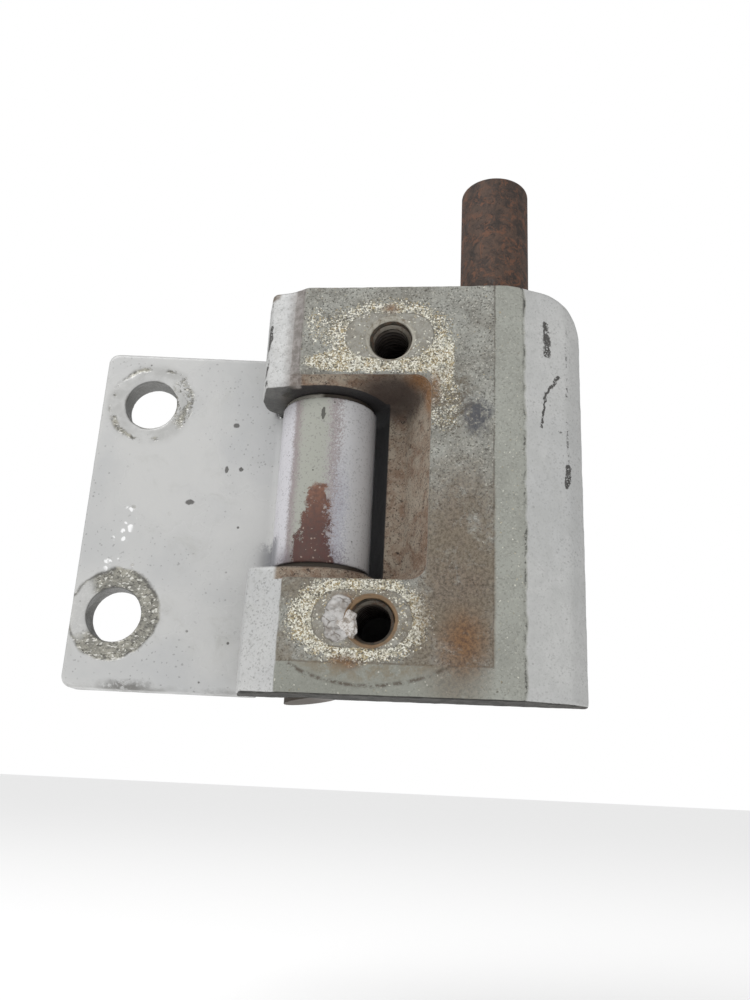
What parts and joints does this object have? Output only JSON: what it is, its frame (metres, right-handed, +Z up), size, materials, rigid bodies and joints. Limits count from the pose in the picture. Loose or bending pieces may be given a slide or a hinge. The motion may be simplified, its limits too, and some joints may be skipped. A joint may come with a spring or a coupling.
{
  "type": "door hinge",
  "caption": "Heavy cast offset door hinge: a bracket with two tapped holes and a stub pin, and a flat leaf with two holes that swings between its ears.",
  "frame": {"origin": "on the bracket's mating face, midway between its two tapped holes", "axes": "-Y is the mating face's outward normal; +Z runs up along the hinge pin and the stub pin; +X runs from the hinge pin to the stub pin"},
  "size_m": [0.0985, 0.024, 0.1086],
  "materials": {
    "casting_paint": "worn grey paint over a bare, pitted cast face",
    "leaf_paint": "chipped light grey gloss paint",
    "pin_steel": "dark, slightly rusted turned steel",
    "rusted_steel": "brown rusted and pitted turned steel",
    "spring_steel": "oiled dark spring steel",
    "bush_bronze": "dull bronze, greased"
  },
  "bodies": {
    "bracket": {"bracket": "casting_paint", "hinge_pin": "pin_steel", "stub_pin": "rusted_steel", "hinge_pin_lock": "spring_steel", "stub_pin_lock": "spring_steel"},
    "leaf": {"leaf": "leaf_paint", "upper_bush": "bush_bronze", "lower_bush": "bush_bronze"}
  },
  "joints": [
    {"name": "leaf_swing", "type": "hinge", "parent": "bracket", "child": "leaf", "pos_m": [-0.01225, 0.0125, 0], "axis": [0, 0, 1], "range_deg": [-85, 0]}
  ]
}
